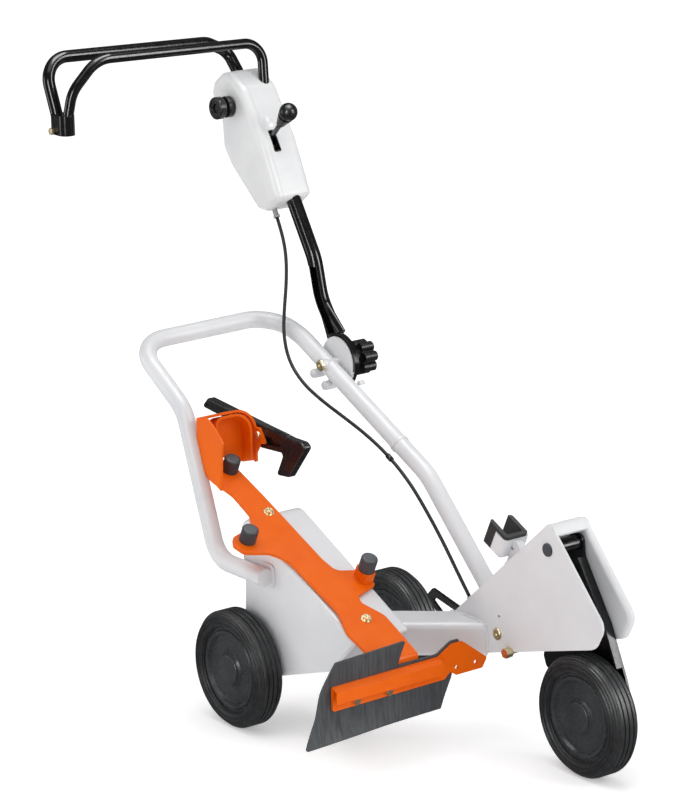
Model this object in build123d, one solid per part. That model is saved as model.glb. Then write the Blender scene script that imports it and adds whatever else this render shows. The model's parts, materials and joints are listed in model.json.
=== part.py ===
from build123d import *
import os
from math import cos, pi, radians, sin, tan

# Three-wheeled guide cart for a hand-held cut-off saw.
# Millimetres. +X is the driving direction, +Y the left side, +Z up.
# Working coordinates start at the middle of the rear axle's line, on the floor.
# Every part is moved by TO_ORIGIN at the end, so that the origin is the
# centre of the footprint.

# ---- wheels ----
WHEEL_R = 100.0
WHEEL_WIDTH = 46.0
HUB_R = 73.0
AXLE_R = 8.0
REAR_TRACK = 330.0
FRONT_WHEEL = (543.0, 131.0)          # x, y of the front wheel's centre

# ---- rear body, a hood of bent sheet ----
BODY_RIGHT = -137.0
BODY_LEFT = -26.0
SHEET = 4.0
PANEL_SLOPE = 26.0                    # degrees, the inclined top panel
PANEL_FOOT = (139.0, 285.0)           # x, z of a point on the panel's top face

# ---- bent tube frame ----
TUBE_R = 15.0
TUBE_BORE = 12.5
LEG_Y = BODY_RIGHT - TUBE_R
MAIN_Y = 131.0
CROSS_X = -293.0

# ---- nose, a fork over the front wheel ----
NOSE_RIGHT = 98.0
NOSE_LEFT = 167.0
ARM_PIVOT = (486.0, 368.0)            # x, z
ARM_Y = (157.0, 161.0)
SLOT_R = 150.0                        # radius of the arm's curved guide slot
SLOT_START = -62.0                    # degrees, the plunger's place in the slot
ARM_TRAVEL = 44.0

# ---- folding handle ----
HUB = (-125.0, 547.0)                 # x, z of the handle's tilt axis
HUB_R_DISC = 44.0
COLUMN_Y = 163.0
COLUMN_R = 13.0
COLUMN_END = 64.0                     # how far the column reaches into the housing
COLUMN_LEAN = 31.5                    # degrees back from vertical
HOUSING_FOOT = (-266.0, 809.0)        # x, z where the column enters the housing
CASE_SHIFT = (11.3, -8.2, -2.6)       # housing shell's offset from the column's axes
BAR_Z = 1067.0
BAR_A_X = -450.0
BAR_B_X = -385.0
BAR_END_Y = -212.0
BAR_END_Z = 962.0

# ---- centre of the footprint in working coordinates ----
CENTRE_X = 91.25
CENTRE_Y = -35.475
TO_ORIGIN = Pos(-CENTRE_X, -CENTRE_Y, 0)

NODES = {}


def add(name, shape):
    """Keep a finished part under its node name."""
    NODES[name] = shape


# ---- helpers -------------------------------------------------------------

PANEL = Plane(origin=(PANEL_FOOT[0], 0, PANEL_FOOT[1]),
              x_dir=(cos(radians(PANEL_SLOPE)), 0, -sin(radians(PANEL_SLOPE))),
              z_dir=(sin(radians(PANEL_SLOPE)), 0, cos(radians(PANEL_SLOPE))))
HOUSING = Plane(origin=(HOUSING_FOOT[0], COLUMN_Y, HOUSING_FOOT[1]),
                x_dir=(cos(radians(COLUMN_LEAN)), 0, sin(radians(COLUMN_LEAN))),
                z_dir=(-sin(radians(COLUMN_LEAN)), 0, cos(radians(COLUMN_LEAN))))
CASE = Plane(origin=HOUSING.from_local_coords(Vector(*CASE_SHIFT)),
             x_dir=HOUSING.x_dir, z_dir=HOUSING.z_dir)


def side_plane(y):
    """A plane across Y whose local axes are world X and Z."""
    return Plane(origin=(0, y, 0), x_dir=(1, 0, 0), z_dir=(0, -1, 0))


def outline(points, radii=0.0):
    """A closed face through the points, with rounded corners."""
    if radii:
        return make_face(FilletPolyline(*points, radius=radii, close=True))
    return make_face(Polyline(*points, close=True))


def slab(points, y_low, y_high, radii=0.0):
    """An outline in X and Z, thick from y_low to y_high."""
    return extrude(side_plane(y_high) * outline(points, radii), y_high - y_low)


def rod_y(x, z, y_low, y_high, radius):
    """A round rod along Y."""
    return extrude(side_plane(y_high) * Pos(x, z) * Circle(radius), y_high - y_low)


def ring_y(x, z, y_low, y_high, radius, bore):
    """A round sleeve along Y."""
    return rod_y(x, z, y_low, y_high, radius) - rod_y(x, z, y_low - 1, y_high + 1, bore)


def hex_y(x, z, y_low, y_high, across):
    """A hexagon head or nut along Y."""
    shape = RegularPolygon(across / 2, 6, major_radius=False)
    return extrude(side_plane(y_high) * Pos(x, z) * shape, y_high - y_low)


def bent_rod(points, radii, radius, bore=0.0):
    """A round bar or tube that follows straight runs and tangent arcs."""
    path = FilletPolyline(*points, radius=radii) if radii else Polyline(*points)
    start = Plane(origin=path @ 0, z_dir=path % 0)
    bar = sweep(start * Circle(radius), path=path)
    if bore:
        bar -= sweep(start * Circle(bore), path=path)
    return bar


def panel_plate(points, low, high, radii=0.0):
    """A plate parallel to the inclined panel, from height low to high."""
    return extrude(PANEL.offset(low) * outline(points, radii), high - low)


def panel_rod(s, y, low, high, radius):
    """A round rod that stands square on the inclined panel."""
    return extrude(PANEL.offset(low) * Pos(s, y) * Circle(radius), high - low)


def polar(centre, radius, angle):
    """A point at a radius and an angle in degrees from a centre."""
    return (centre[0] + radius * cos(radians(angle)), centre[1] + radius * sin(radians(angle)))


# ---- wheels --------------------------------------------------------------

def make_wheel(prefix, x, y, side):
    """Tyre, hub and bearing sleeve; side is -1 when the closed face points to -Y."""
    half = WHEEL_WIDTH / 2
    tread = [(HUB_R, -half + 3), (HUB_R + 2, -half), (WHEEL_R - 7, -half),
             (WHEEL_R, -half + 8), (WHEEL_R, half - 8), (WHEEL_R - 7, half),
             (HUB_R + 2, half), (HUB_R, half - 3)]
    face = outline(tread, 1.5)
    for groove in (-9.0, 0.0, 9.0):
        face -= Pos(WHEEL_R, groove) * Rectangle(5.0, 2.6)
    axis = Plane(origin=(x, y, WHEEL_R), x_dir=(1, 0, 0), z_dir=(0, 0, 1))
    turn = Axis((x, y, WHEEL_R), (0, 1, 0))
    add(prefix + "_tyre", revolve(axis * face, turn, 360))
    bore = AXLE_R + 4.0
    profile = [(bore, -half + 4), (27, -half + 4), (30, -half + 8), (58, -half + 8),
               (61, -half + 3), (66, -half + 3), (68, -half + 6), (HUB_R, -half + 6),
               (HUB_R, half - 6), (68, half - 6), (66, half - 3), (61, half - 3),
               (58, half - 8), (30, half - 8), (27, half - 4), (bore, half - 4)]
    hub = revolve(axis * outline(profile), turn, 360)
    out = y + side * (half - 4)
    low, high = sorted((out, out + side * 4.0))
    cap = rod_y(x, WHEEL_R, low, high, 26.0)
    cap = fillet(cap.edges().group_by(Axis.Y)[0 if side < 0 else -1], 2.5)
    hub += cap
    add(prefix + "_hub", hub)
    sleeve = ring_y(x, WHEEL_R, y - half + 4, y + half - 4, bore, AXLE_R + 0.05)
    add(prefix + "_bearing", sleeve)


def make_wheels():
    """Two rear wheels on one axle and the front wheel on the swing arm."""
    rear_y = REAR_TRACK / 2
    make_wheel("rear_wheel_right", 0.0, -rear_y, -1)
    make_wheel("rear_wheel_left", 0.0, rear_y, 1)
    make_wheel("front_wheel", FRONT_WHEEL[0], FRONT_WHEEL[1], -1)


# ---- rear body, axle and beam --------------------------------------------

def panel_z(x):
    """Height of the inclined panel's top face at x."""
    return PANEL_FOOT[1] - (x - PANEL_FOOT[0]) * tan(radians(PANEL_SLOPE))


def make_rear_body():
    """A hood of bent sheet: two side walls, inclined top and rear wall, open below."""
    front = 290.0
    rear_top = -28.0
    outer = [(rear_top, panel_z(rear_top)), (-16, 240), (-26, 64), (222, 146),
             (front, panel_z(front))]
    body = slab(outer, BODY_RIGHT, BODY_LEFT, [24, 30, 34, 26, 3])
    long_edges = body.edges().filter_by(lambda e: e.length > 250 and e.center().Z > 250)
    body = fillet(long_edges, 7)
    drop = SHEET / cos(radians(PANEL_SLOPE))
    inner = [(rear_top + SHEET, panel_z(rear_top + SHEET) - drop), (-12, 240), (-22, 20),
             (260, 20), (286.5, 150), (286.5, panel_z(286.5) - drop)]
    body -= slab(inner, BODY_RIGHT + SHEET, BODY_LEFT - SHEET, [20, 26, 1, 1, 1, 1])
    pad = slab([(30, 250), (74, 250), (74, 290), (30, 290)], BODY_RIGHT - 3, BODY_RIGHT, 10)
    body += pad - bent_rod(LEG_ROUTE, LEG_BENDS, TUBE_R)
    add("rear_body", body - rod_y(0, WHEEL_R, BODY_RIGHT - 5, BODY_LEFT + 5, AXLE_R))


def make_axle():
    """The through axle and the tube that holds it between body and left wheel."""
    end = REAR_TRACK / 2 + WHEEL_WIDTH / 2 - 4.4
    add("rear_axle", rod_y(0, WHEEL_R, -end, end, AXLE_R))
    inner = REAR_TRACK / 2 - WHEEL_WIDTH / 2
    tubes = Part() + [ring_y(0, WHEEL_R, BODY_LEFT, inner + 3.5, 15.0, AXLE_R),
                      ring_y(0, WHEEL_R, -inner - 3.5, BODY_RIGHT, 14.0, AXLE_R)]
    add("axle_tubes", tubes)


def make_cross_beam():
    """Rectangular tube that joins the rear body to the nose, slanting in plan."""
    start = Vector(176, BODY_LEFT, 176)
    end = Vector(285, NOSE_RIGHT, 176)
    run = (end - start).normalized()
    section = Plane(origin=start - run * 60, x_dir=(-run.Y, run.X, 0), z_dir=run)
    size = (end - start).length + 120
    beam = extrude(section * RectangleRounded(74, 58, 12), size)
    beam -= extrude(section * RectangleRounded(68, 52, 9), size)
    window = Pos(230, (BODY_LEFT + NOSE_RIGHT) / 2, 176) * Box(400, NOSE_RIGHT - BODY_LEFT, 100)
    rod_dir = (0.80, 0.30, -0.52)
    base = Plane(origin=(283, 40, 149), z_dir=rod_dir)
    adjuster = extrude(base * Circle(4), 34) + extrude(base * RegularPolygon(7, 6), 6)
    add("cross_beam", (beam & window) - adjuster)
    add("alignment_screw", adjuster)


# ---- tube frame ----------------------------------------------------------

LEG_ROUTE = [(66, LEG_Y, 270), (-69, LEG_Y, 270), (-155, LEG_Y, 510), (CROSS_X, LEG_Y, 597),
             (CROSS_X, -10, 599.5)]
LEG_BENDS = [48, 70, 55]
MAIN_ROUTE = [(CROSS_X, -10, 599.5), (CROSS_X, MAIN_Y, 602), (-205, MAIN_Y, 579),
              (141, MAIN_Y, 408), (306, MAIN_Y, 244.1)]
MAIN_BENDS = [60, 120, 110]


def make_frame():
    """Bent tube from the body's right wall, up, across and down to the nose, in two halves."""
    leg = bent_rod(LEG_ROUTE, LEG_BENDS, TUBE_R, TUBE_BORE)
    add("frame_tube_right", leg + bolt_rod(LEG_Y, 270, 62, 66, TUBE_R))
    tube = bent_rod(MAIN_ROUTE, MAIN_BENDS, TUBE_R, TUBE_BORE)
    tube -= rod_y(*HUB, MAIN_Y - 30, MAIN_Y + 30, 8.0)
    add("frame_tube_left", tube)


# ---- nose, swing arm and lock ---------------------------------------------

NOSE = [(233, 192), (474, 400), (492, 416), (507, 396), (621, 272), (598, 231), (300, 146),
        (262, 150)]
NOSE_RADII = [8, 60, 12, 60, 22, 26, 30, 30]
WALL_END = 0.2                        # how far the wall runs past the left plate's inner face


def make_nose():
    """Two side plates with a wall along their rear upper edge, open in front and below."""
    far = NOSE[:2] + [(490, 414), (501, 394), (610, 271), (589, 231)] + NOSE[6:]
    right = slab(NOSE, NOSE_RIGHT, NOSE_RIGHT + SHEET, NOSE_RADII)
    left = slab(far, NOSE_LEFT - SHEET, NOSE_LEFT + 8, NOSE_RADII)
    left = fillet(left.edges().group_by(Axis.Y)[0], 7.5)
    left -= extrude(side_plane(NOSE_LEFT + 9) * offset(outline(far, NOSE_RADII), -SHEET), 9)
    core = slab(NOSE, NOSE_RIGHT + SHEET, NOSE_LEFT - SHEET + WALL_END, NOSE_RADII)
    keep = [(233, 192), (474, 400), (492, 416), (507, 396), (503.5, 392), (492, 406),
            (476, 395.5), (239, 190.5), (262, 150), (257, 149)]
    wall = core & slab(keep, NOSE_RIGHT + SHEET, NOSE_LEFT)
    wall = wall - bent_rod(MAIN_ROUTE[-2:], 0, TUBE_R) - lower_end_rod(3.9, -5, 25)
    left -= rod_y(393, 173, NOSE_LEFT, NOSE_LEFT + 9, 9.0)
    px, pz = ARM_PIVOT
    right -= rod_y(px, pz, NOSE_RIGHT - 1, NOSE_RIGHT + 5, 6.0)
    left -= rod_y(px, pz, NOSE_LEFT - 5, NOSE_LEFT + 1, 6.0)
    lock = polar(ARM_PIVOT, SLOT_R, SLOT_START)
    for x, z, r in ((360, 195, 4.0), (363, 226, 2.5), (393, 173, 4.0)):
        right -= rod_y(x, z, NOSE_RIGHT - 1, NOSE_RIGHT + 5, r)
        left -= rod_y(x, z, NOSE_LEFT - 5, NOSE_LEFT + 1, r)
    guide = ring_y(lock[0], lock[1], NOSE_RIGHT + SHEET, 107, 8.0, 3.5)
    add("nose_right_plate", right + guide)
    add("nose_left_plate", left)
    add("nose_rear_wall", wall)


def make_nose_fasteners():
    """Pivot pin with its cap, the guide screw and the stop bolt with its rubber."""
    px, pz = ARM_PIVOT
    pin = rod_y(px, pz, NOSE_RIGHT, NOSE_LEFT + 3, 5.95)
    pin += rod_y(px, pz, NOSE_LEFT, NOSE_LEFT + 4, 10)
    cap = rod_y(px, pz, NOSE_RIGHT - 3, NOSE_RIGHT, 11)
    add("arm_pivot_pin", pin + fillet(cap.edges().group_by(Axis.Y)[0], 1.5))
    screw = rod_y(360, 195, NOSE_RIGHT - 4, NOSE_RIGHT, 10)
    screw = fillet(screw.edges().group_by(Axis.Y)[0], 2.5)
    screw -= hex_y(360, 195, NOSE_RIGHT - 5, NOSE_RIGHT - 1.5, 6)
    screw += rod_y(360, 195, NOSE_RIGHT, NOSE_LEFT + 6, 3.95)
    screw += hex_y(360, 195, NOSE_LEFT, NOSE_LEFT + 6, 14)
    add("nose_tie_screw", screw)
    bolt = hex_y(393, 173, NOSE_RIGHT - 14, NOSE_RIGHT - 7, 15)
    bolt += rod_y(393, 173, NOSE_RIGHT - 14, NOSE_LEFT + 6, 3.95)
    bolt += hex_y(393, 173, NOSE_LEFT, NOSE_LEFT + 6, 13)
    add("stop_bolt", bolt + hex_y(393, 173, NOSE_RIGHT - 6.6, NOSE_RIGHT, 14))


def make_swing_arm():
    """Sector plate with a front flange, pivot sleeve, curved slot and stub axle."""
    low, high = ARM_Y
    px, pz = ARM_PIVOT
    axle = (FRONT_WHEEL[0], WHEEL_R)
    points = [(468, 352), (470, 384), (501, 384), (504, 350), (566, 254), (604, 170), (627, 100),
              (616, 70), (560, 56), (496, 78), (410, 142), (404, 158)]
    plate = slab(points, low, high, [8, 12, 12, 30, 120, 160, 12, 10, 30, 40, 10, 8])
    slot = []
    steps = 12
    reach = ARM_TRAVEL + 5.0
    for i in range(steps + 1):
        slot.append(polar(ARM_PIVOT, SLOT_R + 5.4, SLOT_START + 2.5 - i * reach / steps))
    for i in range(steps, -1, -1):
        slot.append(polar(ARM_PIVOT, SLOT_R - 5.4, SLOT_START + 2.5 - i * reach / steps))
    plate -= slab(slot, low - 1, high + 1)
    flange = slab([(501, 350), (505, 350), (568, 254), (606, 170), (602, 168), (564, 252)],
                  low - 13, low, [1, 1, 120, 1, 1, 120])
    plate += flange - rod_y(axle[0], axle[1], low - 31, low, WHEEL_R + 4)
    sleeve = rod_y(px, pz, NOSE_RIGHT + SHEET + 0.6, high + 1.4, 13)
    sleeve -= rod_y(px, pz, NOSE_RIGHT, NOSE_LEFT, 6.0)
    plate = plate + sleeve - rod_y(px, pz, NOSE_RIGHT, NOSE_LEFT, 6.0)
    inner = FRONT_WHEEL[1] + WHEEL_WIDTH / 2 - 4
    plate += rod_y(axle[0], axle[1], inner + 0.6, low, 15)
    add("swing_arm", plate - rod_y(axle[0], axle[1], low - 40, high + 10, AXLE_R))
    tip = FRONT_WHEEL[1] - WHEEL_WIDTH / 2 + 4.4
    stub = rod_y(axle[0], axle[1], tip, high + 2, AXLE_R)
    add("front_stub_axle", stub + hex_y(axle[0], axle[1], high, high + 6, 20))


def make_lock():
    """Spring-loaded plunger that rides in the arm's curved slot."""
    x, z = polar(ARM_PIVOT, SLOT_R, SLOT_START)
    plunger = rod_y(x, z, 146, 160.4, 5.0) + rod_y(x, z, 118, 146, 3.0)
    plunger += rod_y(x, z, 112, 118, 7.0)
    plunger += rod_y(x, z, 105.5, 112, 3.44)
    add("lock_plunger", plunger)


CRADLE = Plane(origin=(338, MAIN_Y - 8, 318), x_dir=PANEL.x_dir, z_dir=PANEL.z_dir)
CRADLE_LENGTH = (-31.0, 17.0)         # along the slope
CRADLE_WIDTH = (-20.0, 27.0)          # across
CRADLE_HEIGHT = (13.0, 55.0)          # above the slope


def cradle_box(inset_rear, inset, low, high):
    """A block in the cradle's own axes, inset from its outside."""
    length = CRADLE_LENGTH[1] - CRADLE_LENGTH[0] - inset_rear - inset
    width = CRADLE_WIDTH[1] - CRADLE_WIDTH[0] - 2 * inset
    middle = (CRADLE_LENGTH[1] + CRADLE_LENGTH[0] + inset_rear - inset) / 2
    centre = (CRADLE_WIDTH[0] + CRADLE_WIDTH[1]) / 2
    corner = max(6.0 - inset, 1.0)
    face = CRADLE.offset(low) * Pos(middle, centre) * RectangleRounded(length, width, corner)
    return extrude(face, high - low)


def make_cradle():
    """Rubber fork for the saw's front tube, held in a bent bracket on the nose."""
    low, high = CRADLE_HEIGHT
    rubber = cradle_box(0, 0, low, high) - cradle_box(-20, 7.5, low - 1, high + 1)
    add("cradle_rubber", rubber)
    shell = cradle_box(20, -3, low + 3, high - 6) - cradle_box(-20, 0, low, high)
    gusset = slab([(345, 280), (357, 322), (376, 352), (384, 350), (404, 330)],
                  MAIN_Y - 12, MAIN_Y + 2)
    gusset -= cradle_box(-20, -3, 0, high + 10)
    shell += gusset - slab(NOSE, MAIN_Y - 20, MAIN_Y + 10, NOSE_RADII)
    hole = Plane(origin=CRADLE.from_local_coords(Vector(10, -2, 34)), z_dir=PANEL.x_dir)
    add("cradle_bracket", shell - extrude(hole * Circle(2.5), 15))


def make_slotted_bracket():
    """Small black angle behind the nose that guides the cable."""
    points = [(168, 212), (182, 226), (256, 210), (249, 201), (190, 213), (182, 205),
              (206, 189), (199, 181)]
    bracket = slab(points, 104, 110, 1.0)
    add("cable_bracket", bracket - slab(NOSE, 100, 115, NOSE_RADII))


# ---- folding handle --------------------------------------------------------

def make_hub():
    """Disc welded to the main tube, the column's foot, pivot bolt and star knob."""
    x, z = HUB
    side = MAIN_Y + TUBE_R
    disc = rod_y(x, z, side, side + 4, HUB_R_DISC)
    disc += rod_y(x, z, MAIN_Y - 19, side, 8.0)
    disc -= rod_y(x, z, MAIN_Y - 30, side + 10, 5.0)
    for i in range(36):
        tooth_x, tooth_z = polar(HUB, HUB_R_DISC + 0.4, i * 10)
        disc -= rod_y(tooth_x, tooth_z, side - 1, side + 5, 1.3)
    add("hub_disc", disc)
    tube = bent_rod(MAIN_ROUTE, MAIN_BENDS, TUBE_R)
    stops = Part()
    for px, pz in ((-156, 525), (-124, 510)):
        stud = rod_y(px, pz, MAIN_Y - 17, MAIN_Y + 6, 8.0)
        stud = fillet(stud.edges().group_by(Axis.Y)[0], 4.0)
        web = slab([(px - 6, pz), (px + 6, pz - 4), (px + 18, pz + 20), (px + 6, pz + 26)],
                   MAIN_Y - 4, MAIN_Y + 4)
        stops += (stud + web) - tube
    stops += rod_y(x + 62, z - 25, MAIN_Y + 13, MAIN_Y + 24, 4) - tube
    add("hub_stops", stops)
    bolt = rod_y(x, z, MAIN_Y - 24, MAIN_Y - 19, 10.0)
    bolt = fillet(bolt.edges().group_by(Axis.Y)[0], 3.0)
    bolt -= hex_y(x, z, MAIN_Y - 25, MAIN_Y - 21, 6)
    bolt += rod_y(x, z, MAIN_Y - 19, 206, 4.97)
    add("tilt_bolt", bolt)
    foot = rod_y(x, z, side + 4.3, side + 10, HUB_R_DISC + 1.5)
    rim = ring_y(x, z, side + 0.5, side + 10, HUB_R_DISC + 6, HUB_R_DISC + 1.2)
    fan = slab([(x, z), polar(HUB, 90, -12), polar(HUB, 110, 55), polar(HUB, 90, 128)],
               side - 2, side + 12)
    foot += rim & fan
    foot += rod_y(x, z, side + 10, 172, 11.0)
    start, knee = [Vector(*point) for point in column_route()[:2]]
    way = (knee - start).normalized()
    across = Vector(0, 1, 0).cross(way)
    skirt = loft([Plane(origin=start - way * 5, x_dir=across, z_dir=way) * Ellipse(27, 8.5),
                  Plane(origin=start + way * 55, x_dir=across, z_dir=way) * Ellipse(13.6, 8.5)])
    foot += skirt - bent_rod(column_route(), COLUMN_BENDS, COLUMN_R)
    foot -= rod_y(x, z, side, 190, 5.03)
    add("column_foot", foot)
    lobes = Sketch() + Circle(21)
    for i in range(7):
        lobes += Pos(*polar((0, 0), 22, i * 360 / 7 + 12)) * Circle(8.5)
    star = extrude(side_plane(211) * Pos(x, z) * lobes, 25)
    star += extrude(side_plane(213) * Pos(x, z) * scale(lobes, 0.93), 2)
    star += rod_y(x, z, 172.3, 187, 17)
    star -= rod_y(x, z, 170, 206.4, 5.03)
    add("star_knob", star)


COLUMN_BENDS = [90, 90]


def column_route():
    """Route of the column from the foot's rim to its end in the housing."""
    top = HOUSING.from_local_coords(Vector(0, 0, COLUMN_END))
    start = polar(HUB, HUB_R_DISC + 4.5, 121.5)
    return [(start[0], COLUMN_Y, start[1]), (-191, COLUMN_Y, 645),
            (-207, COLUMN_Y, 711), (top.X, COLUMN_Y, top.Z)]


def make_column():
    """Bent tube from the foot up into the control housing."""
    tube = bent_rod(column_route(), COLUMN_BENDS, COLUMN_R, 11.0)
    below = slab([(-300, 400), (0, 400), (0, 700), (-300, 700)], 100, MAIN_Y + TUBE_R + 10)
    add("column_tube", tube - below - rod_y(*HUB, 100, 190, 11.0))


PROFILE = [(3, -1), (15, 100), (12, 206), (-10, 247), (-32, 254), (-60, 251), (-78, 236),
           (-74, 190), (-98, 142), (-95, 106), (-64, 10), (-44, -4)]
PROFILE_R = [12, 90, 24, 20, 20, 12, 14, 40, 24, 30, 14, 14]
LEVER_PIN = (-25.0, 103.0)            # u, c of the control lever's pin
LEVER_ANGLE = 13.0                    # degrees above the housing's u axis, at rest
LEVER_REACH = 106.7                   # from the pin to the middle of the ball
LEVER_V = -6.0


def housing_slab(inset, v_low, v_high):
    """The housing's side profile, inset from its outside, thick along Y."""
    plane = Plane(origin=CASE.origin, x_dir=CASE.x_dir, z_dir=(0, -1, 0))
    face = make_face(FilletPolyline(*PROFILE, radius=PROFILE_R, close=True))
    if inset:
        face = offset(face, -inset)
    return extrude(plane.offset(-v_high) * face, v_high - v_low)


def slab_case(points, v_low, v_high):
    """An outline in the housing's own axes, thick along Y."""
    plane = Plane(origin=CASE.origin, x_dir=CASE.x_dir, z_dir=(0, -1, 0))
    return extrude(plane.offset(-v_high) * outline(points), v_high - v_low)


def housing_point(u, v, c):
    """A point in the housing's own axes, as a world vector."""
    return CASE.from_local_coords(Vector(u, v, c))


def housing_rod(u, c, v_low, v_high, radius):
    """A round rod along Y, placed in the housing's own axes."""
    point = housing_point(u, 0, c)
    return rod_y(point.X, point.Z, point.Y + v_low, point.Y + v_high, radius)


BAR_A_BENDS = [28, 40, 44]
BAR_B_BENDS = [34, 60, 60]


def bar_routes():
    """Routes of the rear and front handle bars, from the housing to the free end."""
    a_root = housing_point(-40, 18, 205)
    b_root = housing_point(-9, 19, 180)
    rear = [(a_root.X, a_root.Y, a_root.Z), (BAR_A_X + 2, 160, BAR_Z - 24),
            (BAR_A_X, 118, BAR_Z - 4), (BAR_A_X, -216, BAR_Z + 6), (-412, BAR_END_Y, BAR_END_Z)]
    front = [(b_root.X, b_root.Y, b_root.Z), (-377, 184, BAR_Z - 2),
             (BAR_B_X, -150, BAR_Z + 5), (-388, -200, BAR_Z - 46), (-391, BAR_END_Y, BAR_END_Z)]
    return rear, front


def make_bars():
    """Two bent tubes side by side that meet at the free end."""
    rear, front = bar_routes()
    bar_a = bent_rod(rear, BAR_A_BENDS, 10.5, 8.5)
    bar_b = bent_rod(front, BAR_B_BENDS, 9.0, 7.2)
    add("handle_bar_rear", bar_a)
    add("handle_bar_front", bar_b)


def make_bar_end():
    """Flattened socket that joins both bars, with its cross bolt."""
    base = Plane(origin=(-401.5, BAR_END_Y, BAR_END_Z - 12), x_dir=(1, 0, 0), z_dir=(0, 0, 1))
    socket = extrude(base * SlotOverall(50, 28), 34)
    inside = extrude(base * SlotOverall(45, 23), 12)
    rear, front = bar_routes()
    socket -= inside + bent_rod(rear, BAR_A_BENDS, 10.5) + bent_rod(front, BAR_B_BENDS, 9.0)
    bolt = rod_y(-411, BAR_END_Z - 6, BAR_END_Y - 14, BAR_END_Y + 18, 3.0)
    add("handle_end_socket", socket - bolt)
    head = hex_y(-411, BAR_END_Z - 6, BAR_END_Y - 20, BAR_END_Y - 14, 11)
    add("handle_end_bolt", head + bolt)


def side_facet():
    """Shallow wedge-shaped cut low on the housing's right side."""
    base = Plane(origin=housing_point(0, 0, -12), x_dir=CASE.x_dir, z_dir=CASE.z_dir)
    wedge = extrude(base * outline([(-19, -40), (-19, -36), (21, -32.8), (21, -40)]), 62)
    return wedge & slab_case([(-19, 48), (-19, -12), (16, -12)], -41, -30)


def make_housing():
    """Two hollow plastic shells split near the right side, with their openings."""
    right = housing_slab(0, -36, -20)
    right = fillet(right.edges().group_by(Axis.Y)[0], 12)
    left = housing_slab(0, -19.8, 42)
    left = fillet(left.edges().group_by(Axis.Y)[-1], 12)
    hollow = housing_slab(4, -24, 30) + housing_slab(8, -31, 37)
    dent = Pos(housing_point(35.6, LEVER_V, 137)) * Sphere(24)
    right -= hollow
    left = left - hollow - dent
    cut = housing_rod(-33, 192, -60, 0, 7.0)
    slot_plane = Plane(origin=housing_point(14, LEVER_V, 102), x_dir=(0, 1, 0), z_dir=CASE.x_dir)
    slot = extrude(slot_plane * RectangleRounded(14, 40, 3), 9, both=True)
    rear, front = bar_routes()
    bar_hole_a = bent_rod(rear[:4], BAR_A_BENDS[:2], 10.5)
    bar_hole_b = bent_rod(front[:3], BAR_B_BENDS[:1], 9.0)
    column_hole = bent_rod(column_route(), COLUMN_BENDS, COLUMN_R)
    cable_hole = ferrule_rod(4.6, 0, 21) + ferrule_rod(5.6, -6, 4)
    lever_pin = housing_rod(*LEVER_PIN, -32, 38, 3.97)
    right = right - cut - cable_hole - lever_pin - side_facet()
    left = left - slot - bar_hole_a - bar_hole_b - column_hole - cable_hole - lever_pin
    add("housing_right_shell", right)
    add("housing_left_shell", left)
    plate = slab_case([(-50, 14), (-2, 14), (-2, 176), (-26, 212), (-56, 212)], 11, 15)
    plate -= column_hole + bar_hole_a + bar_hole_b
    add("column_plate", plate + lever_pin)
    guide = extrude(slot_plane.offset(-4) * RectangleRounded(14, 40, 3), 4.4)
    guide -= extrude(slot_plane.offset(-6) * Rectangle(10.6, 35), 10)
    add("lever_slot_guide", guide)


def make_control_lever():
    """Ball-ended lever on its pin, with the drum that winds the inner wire."""
    pivot = housing_point(LEVER_PIN[0], LEVER_V, LEVER_PIN[1])
    angle = radians(LEVER_ANGLE)
    way = CASE.x_dir * cos(angle) + CASE.z_dir * sin(angle)
    drum = housing_rod(*LEVER_PIN, -26, 10, 15.0)
    stem = extrude(Plane(origin=pivot + way * 12, z_dir=way) * Circle(4.5), LEVER_REACH - 24)
    neck = extrude(Plane(origin=pivot + way * 72, z_dir=way) * Circle(7.0), 22, taper=-16)
    grip = Pos(pivot + way * LEVER_REACH) * Sphere(16)
    add("control_lever", drum + stem - housing_rod(*LEVER_PIN, -40, 40, 4.0))
    add("lever_ball", grip + neck - stem)


def make_side_knob():
    """Two-step round knob on the housing's right side."""
    knob = housing_rod(-33, 192, -49, -36.6, 18.5)
    knob = fillet(knob.edges(), 2.0)
    knob += housing_rod(-33, 192, -56, -48, 11.0)
    cap = housing_rod(-33, 192, -69, -55, 19.5)
    cap = fillet(cap.edges(), 2.5) - housing_rod(-33, 192, -70, -67.5, 14.0)
    middle = housing_point(-33, 0, 192)
    cap -= hex_y(middle.X, middle.Z, middle.Y - 70, middle.Y - 64, 16)
    knob += cap
    shaft = housing_rod(-33, 192, -40, -8, 6.95)
    add("side_knob", knob + shaft)


# ---- control cable ---------------------------------------------------------

CABLE_R = 3.0
CABLE_ROUTE = [(-280, 138, 776), (-262, 137, 745), (-247, 132, 708), (-238, 124, 668),
               (-232, 114, 626), (-224, 105, 583), (-202, 99, 542), (-160, 97, 511),
               (-108, 99, 490), (-52, 103, 472), (4, 107, 453), (62, 109.5, 428),
               (118, 110, 394), (165, 110, 352), (208, 110, 308), (243, 111, 265),
               (270, 112.4, 232.3)]


def cable_radii():
    """The largest arc that the runs beside each point allow."""
    points = [Vector(*point) for point in CABLE_ROUTE]
    radii = []
    for before, here, after in zip(points, points[1:], points[2:]):
        turn = (here - before).get_angle(after - here)
        shorter = min((here - before).length, (after - here).length)
        radii.append(0.45 * shorter / tan(radians(turn / 2)))
    return radii


def ferrule_rod(radius, low, high):
    """A round rod on the cable's upper end line, measured upward from that end."""
    start = Vector(*CABLE_ROUTE[0])
    way = (start - Vector(*CABLE_ROUTE[1])).normalized()
    return extrude(Plane(origin=start + way * low, z_dir=way) * Circle(radius), high - low)


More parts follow.
